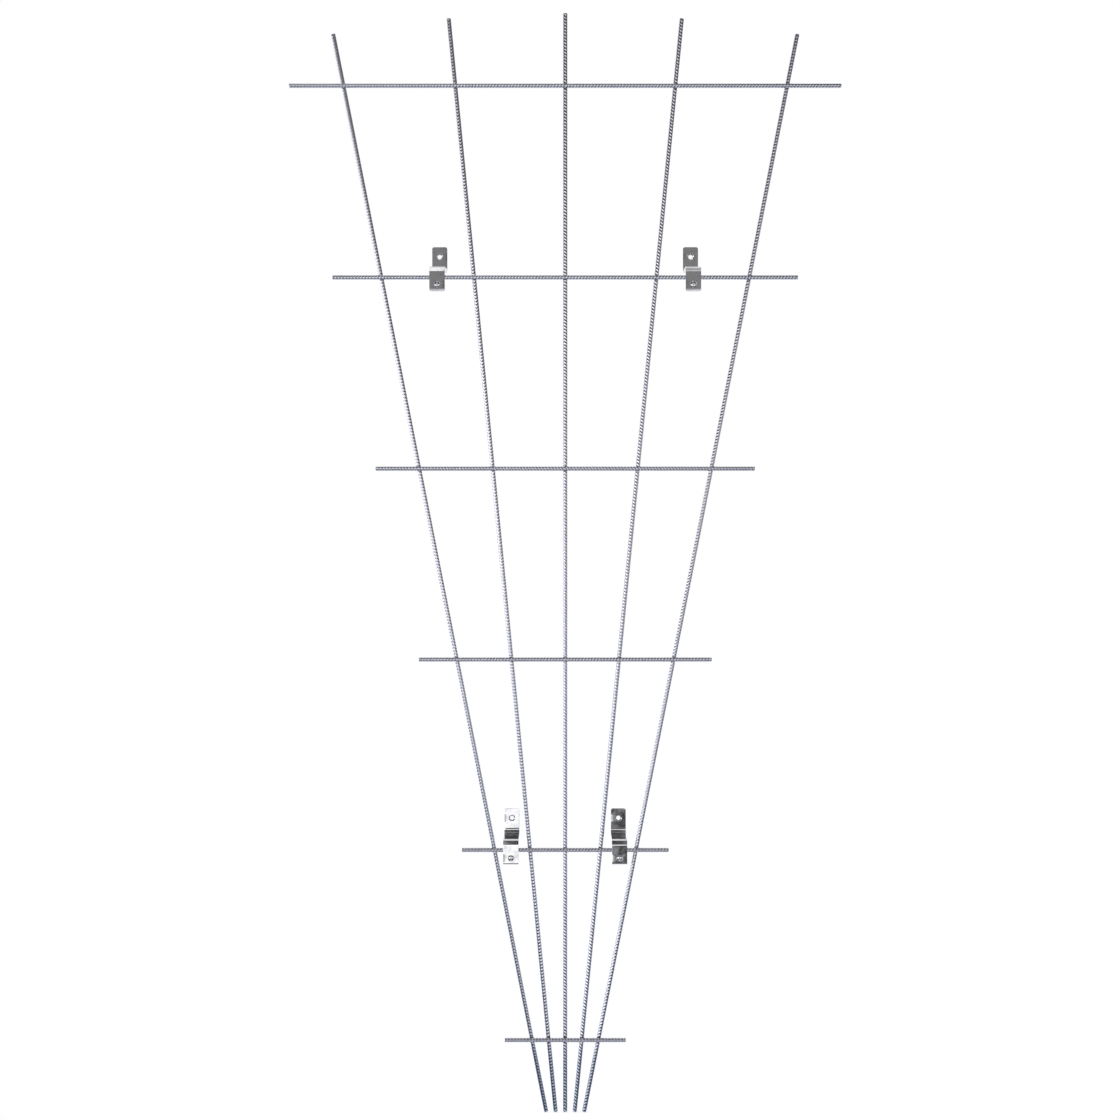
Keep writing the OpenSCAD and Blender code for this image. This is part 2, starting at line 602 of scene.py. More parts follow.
@dataclass
class RibbedBar:
    """Round bar with three rows of slanting, crescent-shaped ribs rolled into it."""

    core_r: float = 2.84 * MM
    rib_rise: float = 0.28 * MM
    rib_pitch: float = 4.3 * MM
    rib_rows: int = 3
    rib_slant: float = 0.9
    # Powers that narrow a rib along the bar, and that taper it to the ends of its crescent
    rib_narrowing: float = 2.2
    rib_fading: float = 0.5
    end_chamfer: float = 0.5 * MM
    # Points round the bar, rings to a rib, and rings in the block that is copied along the bar
    sides: int = 20
    rings: int = 8
    block_rings: int = 40

    def rise(self, angle: float, along: float) -> float:
        """Height of the relief as a share of a rib's height.

        Args:
            angle: Angle round the bar.
            along: Distance along the bar.

        Returns:
            From 0 in a groove to 1 on a crest.
        """
        turn = (angle / TAU * self.rib_rows) % self.rib_rows
        row = int(turn)
        across = turn - row
        lean = self.rib_slant * (across - 0.5) * (-1 if row == 1 else 1)
        wave = math.cos(TAU * (along / self.rib_pitch + lean + row / self.rib_rows))
        crest = ((1 + wave) / 2) ** self.rib_narrowing
        return crest * math.sin(math.pi * across) ** self.rib_fading

    def skin(self, length: float, roll: float) -> BMesh:
        """Make a bar that stands on the origin along Z.

        Args:
            length: Length of the bar, end faces included.
            roll: Turn of the bar about its own axis.

        Returns:
            The closed shape, with the height of the relief in a vertex layer.
        """
        bm = bmesh.new()
        layer = bm.verts.layers.float.new(RIB_LAYER)
        skin_length = length - 2 * self.end_chamfer
        blocks = math.ceil(skin_length / self.rib_pitch * self.rings / self.block_rings)
        block = skin_length / blocks
        bmesh.ops.create_circle(
            bm,
            segments=self.sides,
            radius=self.core_r,
            matrix=Matrix.Translation((0, 0, self.end_chamfer)),
        )
        ring = bm.verts[:] + bm.edges[:]
        along = {"axis": (0, 0, 1), "angle": 0}
        step = (0, 0, block / self.block_rings)
        bmesh.ops.spin(bm, geom=ring, dvec=step, steps=self.block_rings, **along)
        copies = {"steps": blocks - 1, "use_duplicate": True}
        bmesh.ops.spin(bm, geom=whole(bm), dvec=(0, 0, block), **copies, **along)
        merge_doubles(bm)
        for vert in bm.verts:
            share = self.rise(math.atan2(vert.co.y, vert.co.x) + roll + TAU, vert.co.z)
            vert.co.xy *= 1 + share * self.rib_rise / self.core_r
            # The height also sets the colour: painted shade in the grooves, painted highlights on the
            # crests.
            vert[layer] = share
        caps = bmesh.ops.holes_fill(bm, edges=open_rim(bm.edges))["faces"]
        bmesh.ops.recalc_face_normals(bm, faces=bm.faces[:])
        bmesh.ops.inset_individual(bm, faces=caps, thickness=self.end_chamfer, depth=self.end_chamfer)
        return bm


@dataclass
class WeldBead:
    """Zinc-covered bead that a spot weld squeezes out between two crossing bars."""

    reach: float = 3.5 * MM
    depth: float = 1.9 * MM
    lump: float = 2.2 * MM
    lump_rise: float = 0.55 * MM
    subdivisions: int = 3

    def add(self, bm: BMesh, place: Vector) -> None:
        """Add one bead to a row of beads.

        Args:
            bm: Row that takes the bead.
            place: Middle of the contact between the bars.
        """
        layer = bm.verts.layers.float[RIB_LAYER]
        made = bmesh.ops.create_icosphere(bm, subdivisions=self.subdivisions, radius=1.0)["verts"]
        for vert in made:
            outward = vert.co.normalized()
            spot = place + Vector((outward.x * self.reach, outward.y * self.depth, outward.z * self.reach))
            swell = noise.noise(spot / self.lump)
            vert.co = spot + outward * swell * self.lump_rise
            # The swell also sets the bead's colour: painted highlight where it bulges, painted shade where
            # it dips.
            vert[layer] = 0.5 + 0.5 * swell


@dataclass
class Lattice:
    """Five fan bars, six cross bars and the welds between them."""

    frame: dict
    bar: RibbedBar = field(default_factory=RibbedBar)
    bead: WeldBead = field(default_factory=WeldBead)
    roll_step: float = math.radians(137.5)

    def axis_of(self, node: str) -> tuple[Vector, Vector]:
        """Find the two ends of a bar's axis.

        Args:
            node: CAD node of a bar.

        Returns:
            The middle of its lower or left end face, and of its upper or right one.
        """
        low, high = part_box(node)
        spread = high - low
        along = 2 if spread.z > spread.x else 0
        points = {tuple(round(c, 6) for c in vert.co) for vert in self.frame["nodes"][node].data.vertices}
        middle = (low[along] + high[along]) / 2
        ends = []
        for side in (-1, 1):
            end = [Vector(p) for p in points if (p[along] - middle) * side > 0]
            ends.append(sum(end, Vector()) / len(end))
        heading = (ends[1] - ends[0]).normalized()
        reach = [(Vector(p) - ends[0]).dot(heading) for p in points]
        return ends[0] + heading * min(reach), ends[0] + heading * max(reach)

    def build_bars(self, material: Material) -> None:
        """Make every fan bar and cross bar.

        Args:
            material: Finish of the bars.
        """
        nodes = [n for n in self.frame["nodes"] if n.startswith(("fan_rod_", "cross_rod_"))]
        for count, node in enumerate(sorted(nodes)):
            foot, top = self.axis_of(node)
            heading = top - foot
            bm = self.bar.skin(heading.length, count * self.roll_step)
            turn = Vector((0, 0, 1)).rotation_difference(heading).to_matrix().to_4x4()
            bm.transform(Matrix.Translation(foot) @ turn)
            settle(bm, node.replace("rod", "bar"), node, LATTICE, material)

    def build_welds(self, material: Material) -> None:
        """Make the beads of every weld row.

        Args:
            material: Finish of the beads.
        """
        fans = [self.axis_of(n) for n in sorted(self.frame["nodes"]) if n.startswith("fan_rod_")]
        rows = [n for n in sorted(self.frame["nodes"]) if n.startswith("weld_row_")]
        for node in rows:
            row = centre_of(node)
            bm = bmesh.new()
            bm.verts.layers.float.new(RIB_LAYER)
            for foot, top in fans:
                share = (row.z - foot.z) / (top.z - foot.z)
                self.bead.add(bm, Vector((foot.x + share * (top.x - foot.x), row.y, row.z)))
            settle(bm, node.replace("weld_row", "weld_beads"), node, LATTICE, material)


@dataclass(frozen=True)
class Run:
    """Straight stretch of a strip, as the step from its start to its end."""

    step: Vector


@dataclass(frozen=True)
class Bend:
    """Quarter bend of a strip about a line along X through its centre."""

    centre: Vector
    turn: float


@dataclass
class BentStrip:
    """Flat strip that is bent across its width, drilled and broken at its edges."""

    width: float
    thickness: float
    edge_break: float = 0.25 * MM
    edge_steps: int = 2
    corner_steps: int = 6
    bend_steps: int = 16
    foot_steps: int = 6
    hole_sides: int = 32
    sharp_angle: float = math.radians(32)

    def sweep(self, top: Vector, moves: Sequence[Run | Bend]) -> BMesh:
        """Sweep an edge as long as the strip is thick along runs and bends, then widen it.

        Args:
            top: Rear end of the first edge, in the plane of symmetry.
            moves: Runs and bends in order.

        Returns:
            The closed strip.
        """
        bm = bmesh.new()
        first = [bm.verts.new((top.x, y, top.z)) for y in (top.y, top.y - self.thickness)]
        last: list = [*first, bm.edges.new(first)]
        for move in moves:
            if isinstance(move, Run):
                way = {"dvec": move.step, "angle": 0.0, "steps": 1, "cent": Vector()}
            else:
                way = {"dvec": Vector(), "angle": move.turn, "steps": self.bend_steps, "cent": move.centre}
            last = bmesh.ops.spin(bm, geom=last, axis=(1, 0, 0), **way)["geom_last"]
        bmesh.ops.translate(bm, verts=bm.verts[:], vec=(-self.width / 2, 0, 0))
        made = bmesh.ops.extrude_face_region(bm, geom=bm.faces[:])["geom"]
        bmesh.ops.translate(bm, verts=new_verts(made), vec=(self.width, 0, 0))
        bmesh.ops.recalc_face_normals(bm, faces=bm.faces[:])
        return bm

    def round_corners(self, bm: BMesh, height: float, radius: float) -> None:
        """Round the two corners at an end of the strip.

        Args:
            bm: The strip.
            height: Height of that end.
            radius: Radius of the corners.
        """
        corners = [
            edge
            for edge in bm.edges
            if all(abs(v.co.z - height) < NEAR for v in edge.verts)
            and abs(edge.verts[0].co.x - edge.verts[1].co.x) < NEAR
        ]
        bmesh.ops.bevel(
            bm,
            geom=corners,
            offset=radius,
            segments=self.corner_steps,
            profile=0.5,
            affect="EDGES",
            material=-1,
        )

    def cut_across(self, bm: BMesh, place: Vector) -> None:
        """Cut the strip into two stretches by a level plane.

        Args:
            bm: The strip.
            place: Any point on the plane.
        """
        bmesh.ops.bisect_plane(bm, geom=whole(bm), plane_co=place, plane_no=(0, 0, 1))

    def round_foot(self, bm: BMesh, foot: Vector, radius: float) -> None:
        """Roll the front edge at the foot of the strip back in a quarter circle, as shearing leaves it.

        Args:
            bm: The strip, with its other edges broken.
            foot: Any point on the line of that edge.
            radius: Radius of the rounding, less than the strip is thick.
        """
        for step in range(self.foot_steps):
            rise = radius * (1 - math.sin(step / self.foot_steps * math.pi / 2))
            self.cut_across(bm, foot + Vector((0, 0, rise)))
        for vert in bm.verts:
            drop = foot.z + radius - vert.co.z
            if drop > 0:
                back = radius - math.sqrt(max(radius**2 - drop**2, 0.0))
                vert.co.y += back * (1 - (vert.co.y - foot.y) / self.thickness)

    def drill(
        self,
        bm: BMesh,
        front: Vector,
        hole_r: float,
        sink: float,
        margin: float,
    ) -> None:
        """Drill a hole through an upright tab, with a countersink in its front face.

        Args:
            bm: The strip.
            front: Middle of the hole on the front face.
            hole_r: Radius of the hole.
            sink: Depth of the countersink, which is as much wider than the hole.
            margin: Distance from the hole to the two cuts that set off its part of the tab.
        """
        for side in (-1, 1):
            self.cut_across(bm, front + Vector((0, 0, side * margin)))
        self.open_face(bm, front + Vector((0, self.thickness, 0)), hole_r)
        rim = self.open_face(bm, front, hole_r + sink)
        for depth in (sink, self.thickness - sink):
            if depth < NEAR:
                continue
            made = bmesh.ops.extrude_edge_only(bm, edges=rim)["geom"]
            bmesh.ops.translate(bm, verts=new_verts(made), vec=(0, depth, 0))
            for vert in new_verts(made):
                spoke = (vert.co - front) * Vector((1, 0, 1))
                vert.co += spoke.normalized() * (hole_r - spoke.length)
            rim = open_rim(made)
        merge_doubles(bm)
        bmesh.ops.recalc_face_normals(bm, faces=bm.faces[:])

    def open_face(self, bm: BMesh, middle: Vector, radius: float) -> list[BMEdge]:
        """Put a round opening into the flat face that lies at a point.

        Args:
            bm: The strip.
            middle: Middle of the opening.
            radius: Radius of the opening.

        Returns:
            The edges of the round rim.
        """
        bm.normal_update()
        near = min(
            (face for face in bm.faces if abs(face.normal.y) > FACING),
            key=lambda face: (face.calc_center_median() - middle).length,
        )
        outline = near.edges[:]
        bmesh.ops.delete(bm, geom=[near], context="FACES_ONLY")
        bmesh.ops.bisect_edges(bm, edges=outline, cuts=self.hole_sides // len(outline) - 1)
        rims = open_rim(bm.edges)
        opened = [e for e in rims if all(abs(v.co.y - middle.y) < NEAR for v in e.verts)]
        made = bmesh.ops.extrude_edge_only(bm, edges=opened)["geom"]
        for vert in new_verts(made):
            vert.co = middle + (vert.co - middle).normalized() * radius
        return open_rim(made)

    def break_edges(self, bm: BMesh) -> None:
        """Round every sharp edge of the strip a little.

        Args:
            bm: The strip.
        """
        sharp = [e for e in bm.edges if e.is_manifold and e.calc_face_angle() > self.sharp_angle]
        bmesh.ops.bevel(
            bm,
            geom=sharp,
            offset=self.edge_break,
            segments=self.edge_steps,
            profile=0.5,
            affect="EDGES",
            clamp_overlap=True,
            material=-1,
        )


@dataclass(frozen=True)
class ScrewHole:
    """Hole for the clamp screw, below the cross rod, in a bracket and in its clamp plate."""

    drop: float = 10.25 * MM
    radius: float = 2.15 * MM


@dataclass
class WallBracket:
    """Z-shaped strip with a wall tab, a stand-off and a front tab that clamps onto a cross rod."""

    site: Site
    thickness: float = 2.5 * MM
    bend_r: float = 5.5 * MM
    rod_drop: float = 15 * MM
    wall_corner_r: float = 3 * MM
    front_corner_r: float = 1 * MM
    foot_r: float = 2.0 * MM
    wall_hole_r: float = 2.75 * MM
    wall_sink: float = 1.5 * MM
    wall_hole_drop: float = 13.5 * MM
    screw_hole: ScrewHole = ScrewHole()
    screw_sink: float = 1.9 * MM
    hole_margin: float = 6.5 * MM

    def build(self, material: Material) -> None:
        """Make the bracket in its place.

        Args:
            material: Finish of the strip.
        """
        node = f"bracket_{self.site.tag}"
        low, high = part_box(node)
        rod_z = centre_of(self.site.rod).z
        strip = BentStrip(width=high.x - low.x, thickness=self.thickness)
        outer_r = self.bend_r + self.thickness
        shelf_top = rod_z + self.rod_drop
        shelf_low = shelf_top - self.thickness
        rear = Vector((0, high.y - outer_r, shelf_low + outer_r))
        nose = Vector((0, low.y + outer_r, shelf_top - outer_r))
        bm = strip.sweep(
            Vector((0, high.y, high.z)),
            [
                Run(Vector((0, 0, rear.z - high.z))),
                Bend(rear, -QUARTER),
                Run(Vector((0, nose.y - rear.y, 0))),
                Bend(nose, QUARTER),
                Run(Vector((0, 0, low.z - nose.z))),
            ],
        )
        strip.round_corners(bm, high.z, self.wall_corner_r)
        strip.round_corners(bm, low.z, self.front_corner_r)
        wall_hole = Vector((0, high.y - self.thickness, high.z - self.wall_hole_drop))
        strip.drill(bm, wall_hole, self.wall_hole_r, self.wall_sink, self.hole_margin)
        screw_hole = Vector((0, low.y, rod_z - self.screw_hole.drop))
        strip.drill(bm, screw_hole, self.screw_hole.radius, self.screw_sink, self.hole_margin)
        strip.break_edges(bm)
        strip.round_foot(bm, Vector((0, low.y, low.z)), self.foot_r)
        bmesh.ops.translate(bm, verts=bm.verts[:], vec=(centre_of(node).x, 0, 0))
        piece = settle(bm, f"wall_bracket_{self.site.tag}", node, self.site.body, material)
        flatten_shading(piece)


@dataclass
class RodClamp:
    """Plate, screw and nut that pinch a cross rod against the front tab of a bracket."""

    site: Site
    plate_t: float = 2 * MM
    plate_bend_r: float = 0.6 * MM
    plate_bend_steps: int = 8
    plate_edge_break: float = 0.2 * MM
    screw_hole: ScrewHole = ScrewHole()
    hole_margin: float = 3.5 * MM
    head_r: float = 4 * MM
    head_rise: float = 0.9 * MM
    dome_steps: int = 4
    shank_r: float = 2 * MM
    thread_core_r: float = 1.62 * MM
    thread_pitch: float = 0.7 * MM
    thread_steps: int = 20
    # The ridge of the thread is rooted inside the core, at this share of its radius.
    thread_root: float = 0.9
    thread_clearance: float = 0.02 * MM
    screw_chamfer: float = 0.5 * MM
    screw_sharp: float = math.radians(40)
    socket_af: float = 2.5 * MM
    socket_depth: float = 2.2 * MM
    # Radius of the socket's round mouth, as a share of the radius at the hexagon's corners.
    socket_mouth: float = 1.12
    nut_af: float = 7 * MM
    # Width of the nut's round end faces, as a share of its width across flats.
    nut_face: float = 0.96
    nut_cone: float = math.radians(30)
    nut_bore_chamfer: float = 0.3 * MM
    nut_sharp: float = math.radians(28)
    sides: int = 36

    def build_plate(self, material: Material) -> None:
        """Make the clamp plate with its lip.

        Args:
            material: Finish of the sheet.
        """
        node = f"clamp_plate_{self.site.tag}"
        low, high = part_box(node)
        rod_z = centre_of(self.site.rod).z
        sheet = BentStrip(
            width=high.x - low.x,
            thickness=self.plate_t,
            edge_break=self.plate_edge_break,
            bend_steps=self.plate_bend_steps,
        )
        outer_r = self.plate_bend_r + self.plate_t
        heel = Vector((0, high.y - outer_r, low.z + outer_r))
        bm = sheet.sweep(
            Vector((0, high.y, high.z)),
            [
                Run(Vector((0, 0, heel.z - high.z))),
                Bend(heel, -QUARTER),
                Run(Vector((0, low.y - heel.y, 0))),
            ],
        )
        hole = Vector((0, high.y - self.plate_t, rod_z - self.screw_hole.drop))
        sheet.drill(bm, hole, self.screw_hole.radius, 0.0, self.hole_margin)
        sheet.break_edges(bm)
        bmesh.ops.translate(bm, verts=bm.verts[:], vec=(centre_of(node).x, 0, 0))
        piece = settle(bm, f"clamp_jaw_{self.site.tag}", node, self.site.body, material)
        flatten_shading(piece)

    def build_screw(self, material: Material) -> None:
        """Make the countersunk screw with its domed head, hexagon socket and thread.

        Args:
            material: Finish of the screw.
        """
        node = f"clamp_screw_{self.site.tag}"
        low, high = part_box(node)
        bm = bmesh.new()
        rim_y = self.head_rise
        tip_y = high.y - low.y
        throat = self.head_r - self.thread_core_r
        outline = [
            (self.head_r, rim_y),
            (self.thread_core_r, rim_y + throat),
            (self.thread_core_r, tip_y - self.screw_chamfer),
            (self.thread_core_r - self.screw_chamfer, tip_y),
        ]
        verts = [bm.verts.new((radius, y, 0)) for radius, y in outline]
        for pair in zip(verts, verts[1:]):
            bm.edges.new(pair)
        dome_r = (self.head_r**2 + self.head_rise**2) / (2 * self.head_rise)
        mouth_r = self.socket_mouth * self.socket_af / math.sqrt(3)
        sweep = math.asin(self.head_r / dome_r) - math.asin(mouth_r / dome_r)
        bmesh.ops.spin(
            bm,
            geom=[verts[0]],
            cent=(0, dome_r, 0),
            axis=(0, 0, 1),
            angle=-sweep,
            steps=self.dome_steps,
        )
        bmesh.ops.spin(
            bm,
            geom=bm.verts[:] + bm.edges[:],
            axis=(0, 1, 0),
            angle=TAU,
            steps=self.sides,
            use_merge=True,
        )
        merge_doubles(bm)
        self.cut_socket(bm)
        bmesh.ops.holes_fill(bm, edges=open_rim(bm.edges))
        self.cut_thread(bm, rim_y + throat, tip_y - self.screw_chamfer)
        middle = (low + high) / 2
        bmesh.ops.translate(bm, verts=bm.verts[:], vec=(middle.x, low.y, middle.z))
        piece = settle(bm, f"socket_screw_{self.site.tag}", node, self.site.body, material)
        piece.data.set_sharp_from_angle(angle=self.screw_sharp)

    def cut_socket(self, bm: BMesh) -> None:
        """Sink the hexagon socket into the round mouth that the dome of the head has.

        Args:
            bm: The screw, with its head towards -Y.
        """
        mouth = [e for e in open_rim(bm.edges) if all(v.co.y < self.head_rise for v in e.verts)]
        made = bmesh.ops.extrude_edge_only(bm, edges=mouth)["geom"]
        for vert in new_verts(made):
            move_to_hexagon(vert, self.socket_af)
        floor = bmesh.ops.extrude_edge_only(bm, edges=open_rim(made))["geom"]
        bmesh.ops.translate(bm, verts=new_verts(floor), vec=(0, self.socket_depth, 0))

    def cut_thread(self, bm: BMesh, start: float, end: float) -> None:
        """Wind the thread round the shank.

        Args:
            bm: The screw.
            start: Distance along the screw where the thread starts.
            end: Distance where it ends.
        """
        turns = int((end - start) / self.thread_pitch) - 1
        root = self.thread_root * self.thread_core_r
        ridge = [(root, 0.0), (self.shank_r - self.thread_clearance, 0.5), (root, 1.0)]
        verts = [bm.verts.new((radius, start + share * self.thread_pitch, 0)) for radius, share in ridge]
        edges = [bm.edges.new(pair) for pair in zip(verts, verts[1:] + verts[:1])]
        wound = bmesh.ops.spin(
            bm,
            geom=verts + edges,
            axis=(0, 1, 0),
            angle=TAU * turns,
            dvec=(0, self.thread_pitch / self.thread_steps, 0),
            steps=self.thread_steps * turns,
        )["geom_last"]
        bmesh.ops.holes_fill(bm, edges=edges)
        bmesh.ops.holes_fill(bm, edges=new_edges(wound))

    def build_nut(self, material: Material) -> None:
        """Make the chamfered hexagon nut.

        Args:
            material: Finish of the nut.
        """
        node = f"clamp_nut_{self.site.tag}"
        low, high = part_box(node)
        half = (high.y - low.y) / 2
        bore_r = self.shank_r
        round_r = self.nut_face * self.nut_af / 2
        slope = math.tan(self.nut_cone)
        bm = bmesh.new()
        turn = Matrix.Rotation(QUARTER, 4, "X")
        bmesh.ops.create_circle(bm, segments=self.sides, radius=bore_r, matrix=turn)
        loop = bm.edges[:]
        stations = [
            (bore_r, -half + self.nut_bore_chamfer),
            (bore_r + self.nut_bore_chamfer, -half),
            (round_r, -half),
        ]
        for radius, y in stations:
            made = bmesh.ops.extrude_edge_only(bm, edges=loop)["geom"]
            for vert in new_verts(made):
                vert.co.x, vert.co.z = vert.co.xz.normalized() * radius
                vert.co.y = y
            loop = [e for e in open_rim(made) if e.verts[0].co.y == e.verts[1].co.y]
        for on_cone in (True, False):
            made = bmesh.ops.extrude_edge_only(bm, edges=loop)["geom"]
            ring = new_verts(made)
            for vert in ring:
                reach = move_to_hexagon(vert, self.nut_af)
                vert.co.y = -half + (reach - round_r) * slope if on_cone else 0.0
            members = set(ring)
            loop = [e for e in new_edges(made) if set(e.verts) <= members]
        bmesh.ops.mirror(bm, geom=whole(bm), axis="Y", merge_dist=MERGED)
        merge_doubles(bm)
        middle = (low + high) / 2
        bmesh.ops.translate(bm, verts=bm.verts[:], vec=middle)
        piece = settle(bm, f"hex_nut_{self.site.tag}", node, self.site.body, material)
        piece.data.set_sharp_from_angle(angle=self.nut_sharp)


@dataclass(frozen=True)
class Card:
    """Panel of even brightness in the studio, as the span of directions that it fills."""

    level: float
    across: tuple[float, float] = (-1.0, 1.0)
    depth: tuple[float, float] = (-1.0, 1.0)
    up: tuple[float, float] = (-1.0, 1.0)
    soft: float = 0.02

    def hang(
        self,
        tree: NodeTree,
        part: Node,
        behind: NodeSocket,
    ) -> NodeSocket:
        """Lay the card over what hangs behind it.

        Args:
            tree: Node tree of the studio.
            part: Node that gives the X, Y and Z of a direction.
            behind: Colour of what hangs behind the card.

        Returns:
            The colour with the card in front.
        """
        cover: NodeSocket | float = 1.0
        for axis, (low, high) in (("X", self.across), ("Y", self.depth), ("Z", self.up)):
            for edge, side in ((low, 1), (high, -1)):
                if abs(edge) == 1.0:
                    continue
                inside = add_node(
                    tree,
                    "ShaderNodeMapRange",
                    {
                        "Value": part.outputs[axis],
                        "From Min": edge - side * self.soft / 2,
                        "From Max": edge + side * self.soft / 2,
                    },
                    interpolation_type="SMOOTHSTEP",
                ).outputs["Result"]
                both = {0: cover, 1: inside}
                cover = add_node(tree, "ShaderNodeMath", both, operation="MULTIPLY").outputs[0]
        return add_node(
            tree,
            "ShaderNodeMix",
            {"Factor": cover, "A": behind, "B": (self.level, self.level, self.level, 1.0)},
            data_type="RGBA",
        ).outputs["Result"]


# Brightness of the room by height, from straight down to straight up: the Z of a direction, the
# level there, and the share of blue that it has more than grey. Low and high are dim, and a
# bright band runs round the room at eye level.
ROOM_LEVELS = (
    (-1.0, 0.1, 0.6),
    (-0.33, 0.12, 0.8),
    (-0.28, 0.16, 0.8),
    (-0.22, 1.0, 0.12),
    (-0.15, 2.0, 0.02),
    (0.0, 1.9, 0.0),
    (0.08, 1.4, 0.0),
    (0.15, 0.6, 0.02),
    (0.22, 0.2, 0.03),
    (0.3, 0.1, 0.04),
    (0.5, 0.08, 0.04),
    (1.0, 0.08, 0.04),
)
# Each card lies over those before it.
CARDS = (
    # Bright window on the left, which lights the bars, and the calm pane in it
    Card(4.0, across=(-1.0, -0.25), depth=(-1.0, 0.3), up=(-0.21, 0.1), soft=0.08),
    Card(0.8, across=(-0.86, -0.42), depth=(-1.0, 0.0), up=(-0.3, 0.1), soft=0.06),
    # Grey wall in front, which the upper tabs mirror, and the dark ceiling above it
    Card(0.27, across=(-0.15, 0.15), depth=(-1.0, 0.0), up=(0.1, 0.26), soft=0.05),
    Card(0.1, across=(-0.2, 0.2), up=(0.25, 1.0), soft=0.08),
    # Pale ground in front, with a dark strip down its middle
    Card(1.2, across=(-0.2, 0.2), depth=(-1.0, 0.05), up=(-0.95, -0.55), soft=0.1),
    Card(0.3, across=(-0.06, 0.06), depth=(-1.0, 0.05), up=(-0.97, -0.32), soft=0.04),
    # White panel that the lower left tabs mirror, between the dark ones beside it
    Card(1.5, across=(-0.055, 0.012), depth=(-1.0, 0.0), up=(-0.29, -0.1)),
    Card(0.06, across=(0.012, 0.1), depth=(-1.0, 0.0), up=(-0.29, -0.1)),
    Card(0.08, across=(-0.12, -0.055), depth=(-1.0, 0.0), up=(-0.24, -0.12)),
    # Panels overhead: a dark one in the middle, a white one on the left, and on the right a grey
    # one with a white lower edge
    Card(0.07, across=(-0.05, 0.05), up=(0.08, 1.0)),
    Card(1.3, across=(-0.16, -0.055), up=(0.33, 1.0)),
    Card(0.52, across=(0.055, 0.16), up=(0.42, 1.0)),
    Card(1.3, across=(0.055, 0.16), depth=(-1.0, 0.0), up=(0.32, 0.44)),
    # White backdrop behind the frame
    Card(1.0, depth=(0.05, 1.0), soft=0.2),
    # Dim wall on the right, with a weak window in it
    Card(0.2, across=(0.45, 1.0), soft=0.2),
    Card(0.8, across=(0.5, 1.0), up=(-0.21, 0.1), soft=0.1),
)


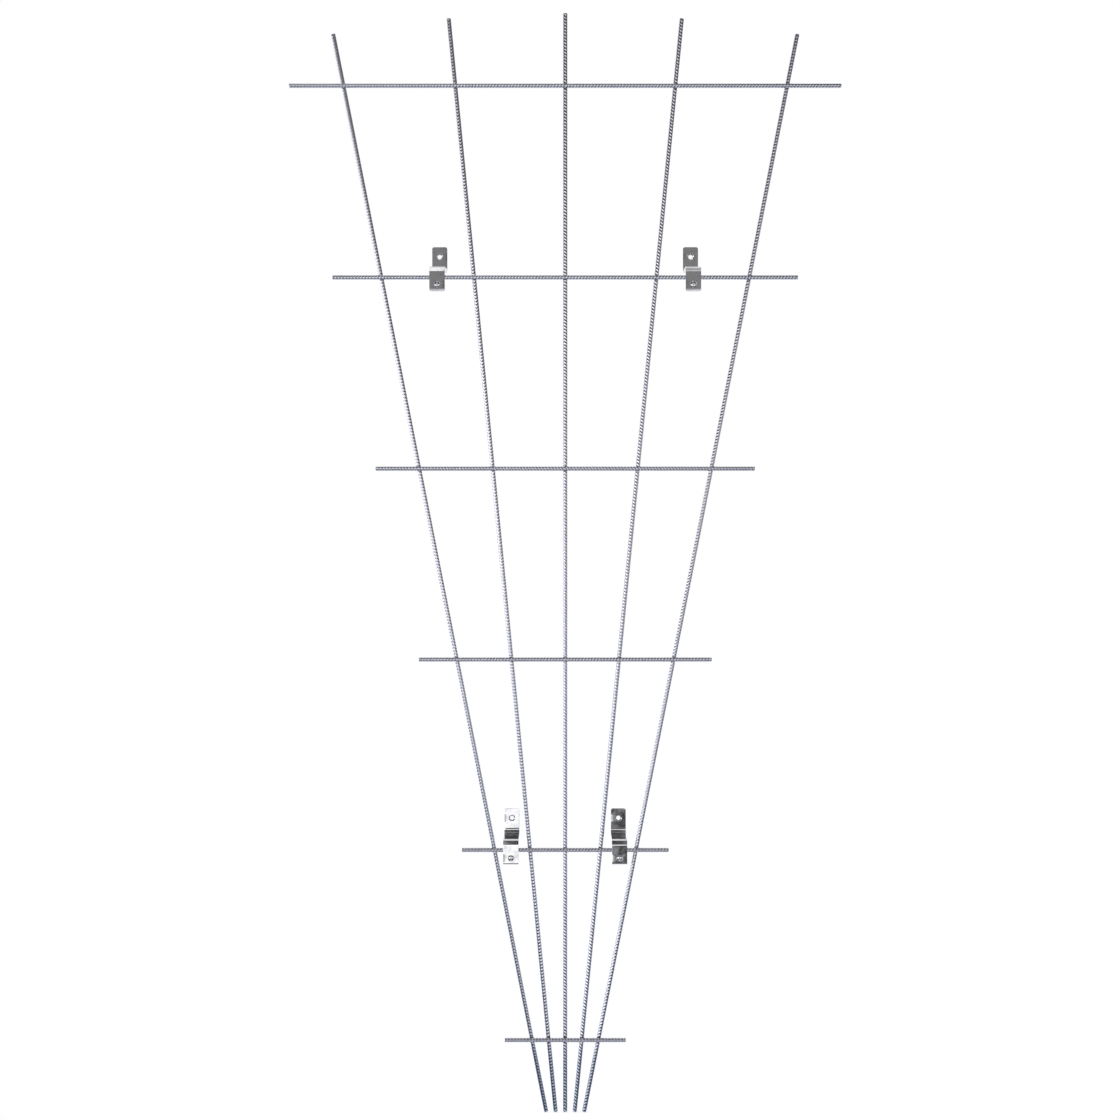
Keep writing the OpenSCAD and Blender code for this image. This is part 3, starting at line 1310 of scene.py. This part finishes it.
@dataclass
class Studio:
    """Pale floor, soft light and the camera of the photograph."""

    feet_z: float
    # Width of the picture, the column of the centre bar in it, and the scale at the bars
    frame_px: int = 1120
    centre_px: float = 565.2
    mm_per_px: float = 1.3661
    rod_plane_y: float = -40.5 * MM
    camera_distance: float = 2.17
    eye_above_feet: float = 0.775
    camera_tilt: float = math.radians(0.5)
    sensor: float = 36.0
    floor_reach: float = 0.045
    floor_back: float = 12.0
    floor_colour: str = "#A8ADB8"
    floor_glow: float = 0.8
    softbox_size: float = 0.9
    softbox_watts: float = 1.2
    softbox_offset: tuple[float, float, float] = (-1.7, -1.2, 0.0)
    room_levels: tuple[tuple[float, float, float], ...] = ROOM_LEVELS
    cards: tuple[Card, ...] = CARDS

    def place_camera(self) -> None:
        """Stand the camera in front of the frame, at the distance that the brackets' perspective gives."""
        data = bpy.data.cameras.new("camera")
        data.sensor_width = self.sensor
        seen = self.frame_px * self.mm_per_px * MM
        data.lens = self.sensor * self.camera_distance / seen
        camera = bpy.data.objects.new("camera", data)
        shift = (self.frame_px / 2 - self.centre_px) * self.mm_per_px * MM
        camera.location = (
            shift,
            self.rod_plane_y - self.camera_distance,
            self.feet_z + self.eye_above_feet,
        )
        camera.rotation_euler = (QUARTER - self.camera_tilt, 0, 0)
        bpy.context.scene.collection.objects.link(camera)
        bpy.context.scene.camera = camera

    def lay_floor(self) -> None:
        """Lay a pale floor under the feet, which runs back into the white backdrop."""
        material, tree = new_material("matt_white_floor")
        seen = seen_by(tree, "Is Camera Ray", "Is Transmission Ray", "Is Glossy Ray")
        matt = add_node(tree, "ShaderNodeBsdfDiffuse", {"Color": linear(self.floor_colour)})
        glow = add_node(tree, "ShaderNodeEmission", {"Color": linear(WHITE), "Strength": self.floor_glow})
        lit = add_node(tree, "ShaderNodeAddShader", {0: matt.outputs[0], 1: glow.outputs[0]})
        mixed = add_node(tree, "ShaderNodeMixShader", {0: seen, 1: matt.outputs[0], 2: lit.outputs[0]})
        add_node(tree, "ShaderNodeOutputMaterial", {"Surface": mixed.outputs[0]})
        bm = bmesh.new()
        bmesh.ops.create_grid(bm, x_segments=1, y_segments=1, size=1.0)
        middle = (self.floor_back - self.floor_reach) / 2
        half = (self.floor_back + self.floor_reach) / 2
        bmesh.ops.scale(bm, verts=bm.verts[:], vec=(self.floor_back, half, 1))
        bmesh.ops.translate(bm, verts=bm.verts[:], vec=(0, middle, self.feet_z))
        mesh = bpy.data.meshes.new("floor")
        bm.to_mesh(mesh)
        bm.free()
        mesh.materials.append(material)
        floor = bpy.data.objects.new("floor", mesh)
        bpy.context.scene.collection.objects.link(floor)
        floor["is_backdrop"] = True

    def hang_backdrop(self) -> None:
        """Surround the frame with a studio: a graded room, its cards, and plain white for the camera."""
        world = bpy.data.worlds.new("studio")
        world.use_nodes = True
        bpy.context.scene.world = world
        tree = world.node_tree
        tree.nodes.clear()
        heading = add_node(tree, "ShaderNodeTexCoord").outputs["Generated"]
        part = add_node(tree, "ShaderNodeSeparateXYZ", {0: heading})
        height = add_node(
            tree,
            "ShaderNodeMapRange",
            {"Value": part.outputs["Z"], "From Min": -1.0, "From Max": 1.0},
        ).outputs["Result"]
        room = add_node(tree, "ShaderNodeValToRGB", {0: height})
        stops = [
            ((z + 1) / 2, (level * (1 - cool / 2), level, level * (1 + cool), 1.0))
            for z, level, cool in self.room_levels
        ]
        set_stops(room, stops)
        colour = room.outputs["Color"]
        for card in self.cards:
            colour = card.hang(tree, part, colour)
        straight = seen_by(tree, "Is Camera Ray", "Is Transmission Ray")
        lit = add_node(tree, "ShaderNodeBackground", {"Color": colour, "Strength": 1.0})
        plain = add_node(tree, "ShaderNodeBackground", {"Color": linear(WHITE), "Strength": 1.0})
        mixed = add_node(tree, "ShaderNodeMixShader", {0: straight, 1: lit.outputs[0], 2: plain.outputs[0]})
        add_node(tree, "ShaderNodeOutputWorld", {"Surface": mixed.outputs[0]})

    def hang_softbox(self) -> None:
        """Hang a large soft lamp to the left of the camera, level with the middle of the frame."""
        data = bpy.data.lights.new("softbox", "AREA")
        data.shape = "RECTANGLE"
        data.size = self.softbox_size
        data.size_y = self.softbox_size
        data.energy = self.softbox_watts
        lamp = bpy.data.objects.new("softbox", data)
        aim = Vector((0, self.rod_plane_y, self.feet_z + self.eye_above_feet))
        lamp.location = aim + Vector(self.softbox_offset)
        lamp.rotation_euler = (aim - lamp.location).to_track_quat("-Z", "Y").to_euler()
        bpy.context.scene.collection.objects.link(lamp)


def main() -> None:
    """Dress the frame piece by piece and set up the studio round it."""
    logging.basicConfig(level=logging.INFO, format="%(name)s: %(message)s")
    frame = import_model()
    cad_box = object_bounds()
    lattice = Lattice(frame)
    feet_z = cad_box[0].z
    lattice.build_bars(GALVANISED_BAR.material(feet_z))
    lattice.build_welds(GALVANISED_WELD.material(feet_z))
    polished = POLISHED_STRIP.material()
    rolled = ROLLED_PLATE.material()
    turned = TURNED_FASTENER.material()
    for site in Site:
        WallBracket(site).build(polished)
        clamp = RodClamp(site)
        clamp.build_plate(rolled)
        clamp.build_screw(turned)
        clamp.build_nut(turned)
    studio = Studio(feet_z)
    studio.place_camera()
    studio.lay_floor()
    studio.hang_backdrop()
    studio.hang_softbox()
    bpy.context.scene.view_settings.view_transform = "Standard"


if __name__ == "__main__":
    main()
